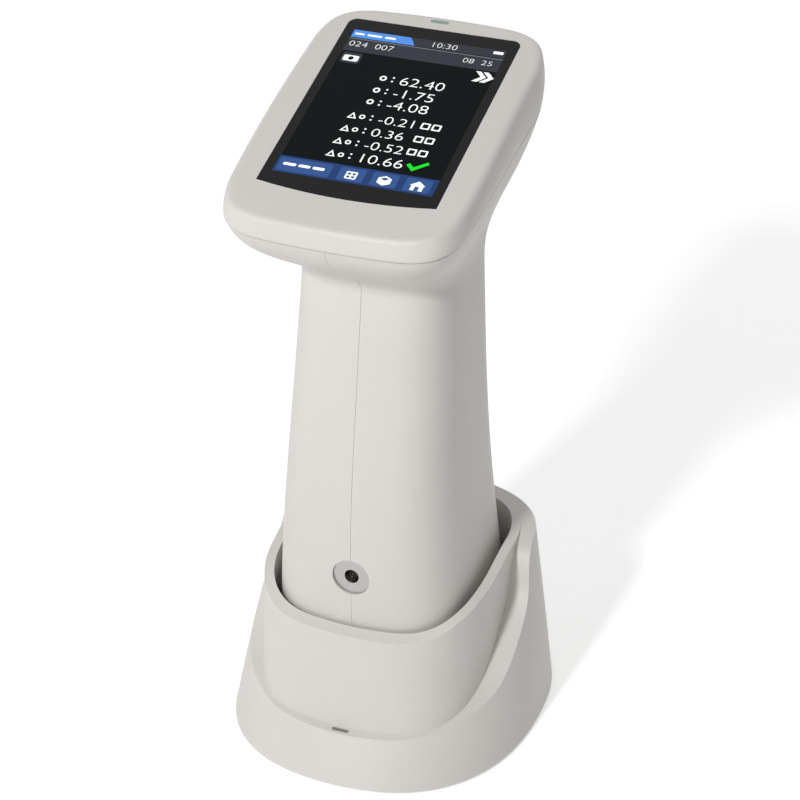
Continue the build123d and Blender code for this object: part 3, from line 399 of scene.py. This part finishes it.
# The camera mark at the left, and the double arrow at the right
solid_from("camera_frame", rounded(-25.7, -18.9, 18.9, 24.0, 1.0), BAR, bar_grey)
solid_from("camera_body", rounded(-25.0, -19.7, 19.9, 22.7, 0.6), MARK, ink)
solid_from("camera_lens", rounded(-23.2, -21.4, 20.4, 22.2, 0.85), ON_MARK, screen_black)
ARROW_HIGH = 24.0
ARROW_MIDDLE = 21.5
ARROW_LOW = 19.0
ARROW_STROKE = 1.8
ARROW_POINT = 2.4
for i, left in enumerate((20.0, 22.6)):
    arrow = [
        (left, ARROW_HIGH),
        (left + ARROW_STROKE, ARROW_HIGH),
        (left + ARROW_STROKE + ARROW_POINT, ARROW_MIDDLE),
        (left + ARROW_STROKE, ARROW_LOW),
        (left, ARROW_LOW),
        (left + ARROW_POINT, ARROW_MIDDLE),
    ]
    solid_from(f"next_arrow_{i}", arrow, MARK, ink)

# Bottom bar with its four keys: three short marks, a grid, a cube and a house
KEY_BAR_HIGH = -28.0
KEYS = [(-26.0, -8.2), (-5.6, 3.0), (5.4, 14.0), (16.4, 25.0)]
KEY_MARKS = [(-24.4, -20.0), (-19.2, -15.2), (-14.4, -10.4)]
CUBE = [(9.7, -29.9), (11.9, -31.0), (11.9, -33.2), (9.7, -34.3), (7.5, -33.2), (7.5, -31.0)]
CUBE_TOP = [(9.7, -30.6), (11.1, -31.3), (9.7, -32.0), (8.3, -31.3)]
HOUSE = [(20.7, -29.9), (23.3, -31.9), (22.7, -31.9), (22.7, -34.2), (18.7, -34.2), (18.7, -31.9),
         (18.1, -31.9)]
full_bar("bottom_bar", -HALF_H, KEY_BAR_HIGH, BAR, bar_blue)
for i, (left, right) in enumerate(KEYS):
    solid_from(f"key_{i}", rounded(left, right, -34.8, -28.8, 0.7), MARK, key_blue)
for i, (left, right) in enumerate(KEY_MARKS):
    solid_from(f"key_note_{i}", rounded(left, right, -32.2, -31.0, 0.5), ON_MARK, ink)
solid_from("key_grid", rounded(-3.2, 0.6, -33.8, -30.4, 0.5), ON_MARK, ink)
for i, left in enumerate((-2.6, -1.0)):
    for j, low in enumerate((-33.3, -31.9)):
        hole = rounded(left, left + 1.0, low, low + 0.9, 0.15)
        solid_from(f"key_grid_hole_{i}{j}", hole, TOP, key_blue)
solid_from("key_cube", CUBE, ON_MARK, ink)
solid_from("key_cube_top", CUBE_TOP, TOP, key_blue)
solid_from("key_house", HOUSE, ON_MARK, ink)
solid_from("key_house_door", rounded(20.0, 21.4, -34.2, -32.4, 0.2), TOP, key_blue)


def turned_ring(name, centre, radius, tube, material, body, around=64, across=12):
    """A thin round lip whose axis runs along Y."""
    mesh = bpy.data.meshes.new(name)
    verts = []
    faces = []
    for i in range(around):
        angle = 2 * pi * i / around
        for j in range(across):
            turn = 2 * pi * j / across
            out = radius + tube * cos(turn)
            verts.append(centre + Vector((out * cos(angle), tube * sin(turn), out * sin(angle))))
            near = i * across + j
            far = ((i + 1) % around) * across + j
            step = (j + 1) % across - j
            faces.append((near, near + step, far + step, far))
    mesh.from_pydata(verts, [], faces)
    mesh.polygons.foreach_set("use_smooth", [True] * len(faces))
    mesh.materials.append(material)
    piece = linked(name, mesh)
    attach(piece, body)


# Moulded lip round the metal disc at the front of the grip
LIP = 0.35 * MM
LIP_FORWARD = 0.15 * MM
disc_radius = (insert_high.x - insert_low.x) / 2
lip_centre = Vector((0.0, insert_low.y - LIP_FORWARD, INSERT_CENTRE.z))
turned_ring("insert_lip", lip_centre, disc_radius + 2 * LIP, LIP, FINISHES["shell"], "instrument")

# Lights: where each one stands, how wide it is, and its power in watts
LIGHTS = [
    ("key_light", (-0.18, -1.22, 0.98), 0.14, 12.0),
    ("fill_light", (-1.3, -0.6, 0.5), 1.0, 2.5),
    ("back_light", (0.3, 1.3, 1.0), 0.8, 2.5),
]
for name, place, width, power in LIGHTS:
    light = bpy.data.lights.new(name, "AREA")
    light.size = width
    light.energy = power
    lamp = linked(name, light)
    lamp.location = place
    lamp.rotation_euler = (AIM - Vector(place)).to_track_quat("-Z", "Y").to_euler()


def seen_rays(tree):
    """One for rays from the camera, a reflection or a clear part, and nought for the light on the object."""
    path = tree.nodes.new("ShaderNodeLightPath")
    seen = path.outputs["Is Camera Ray"]
    for kind in ("Is Glossy Ray", "Is Transmission Ray"):
        either = tree.nodes.new("ShaderNodeMath")
        either.operation = "MAXIMUM"
        tree.links.new(seen, either.inputs[0])
        tree.links.new(path.outputs[kind], either.inputs[1])
        seen = either.outputs["Value"]
    return seen


# World: a soft light on the object, and plain white to the eye
SOFT_LIGHT = 0.36
WHITE = (1, 1, 1, 1)
world = bpy.data.worlds.new("studio")
bpy.context.scene.world = world
world.use_nodes = True
tree = world.node_tree
background = tree.nodes["Background"]
background.inputs["Color"].default_value = WHITE
background.inputs["Strength"].default_value = SOFT_LIGHT
white = tree.nodes.new("ShaderNodeBackground")
white.inputs["Color"].default_value = WHITE
mix = tree.nodes.new("ShaderNodeMixShader")
tree.links.new(seen_rays(tree), mix.inputs["Fac"])
tree.links.new(background.outputs["Background"], mix.inputs[1])
tree.links.new(white.outputs["Background"], mix.inputs[2])
tree.links.new(mix.outputs["Shader"], tree.nodes["World Output"].inputs["Surface"])

# Pale floor. The lift makes its lit part white to the eye, lights nothing, and leaves the shadow on it.
FLOOR_HALF = 3.0
FLOOR_LIFT = 0.45
paper = finish_of("floor_paper", PAPER_WHITE, 0.9, relief=0.0, tint=0.005)
tree, shader = node_tree(paper)
lift = tree.nodes.new("ShaderNodeMath")
lift.operation = "MULTIPLY"
lift.inputs[1].default_value = FLOOR_LIFT
tree.links.new(seen_rays(tree), lift.inputs[0])
glow = tree.nodes.new("ShaderNodeEmission")
tree.links.new(lift.outputs["Value"], glow.inputs["Strength"])
both = tree.nodes.new("ShaderNodeAddShader")
tree.links.new(shader.outputs["BSDF"], both.inputs[0])
tree.links.new(glow.outputs["Emission"], both.inputs[1])
tree.links.new(both.outputs["Shader"], tree.nodes["Material Output"].inputs["Surface"])
mesh = bpy.data.meshes.new("floor")
corners = [
    (-FLOOR_HALF, -FLOOR_HALF, 0),
    (FLOOR_HALF, -FLOOR_HALF, 0),
    (FLOOR_HALF, FLOOR_HALF, 0),
    (-FLOOR_HALF, FLOOR_HALF, 0),
]
mesh.from_pydata(corners, [], [(0, 1, 2, 3)])
mesh.materials.append(paper)
floor = linked("floor", mesh)

# Camera at the photograph's viewpoint
camera_data = bpy.data.cameras.new("camera")
camera_data.lens = LENS
camera_data.sensor_width = SENSOR_WIDTH
camera_data.clip_start = NEAREST_SEEN
camera = linked("camera", camera_data)
direction = Vector((sin(AZIMUTH) * cos(ELEVATION), -cos(AZIMUTH) * cos(ELEVATION), sin(ELEVATION)))
camera.location = AIM + direction * DISTANCE
camera.rotation_euler = (-direction).to_track_quat("-Z", "Y").to_euler()
bpy.context.scene.camera = camera
bpy.context.scene.view_settings.view_transform = "Standard"
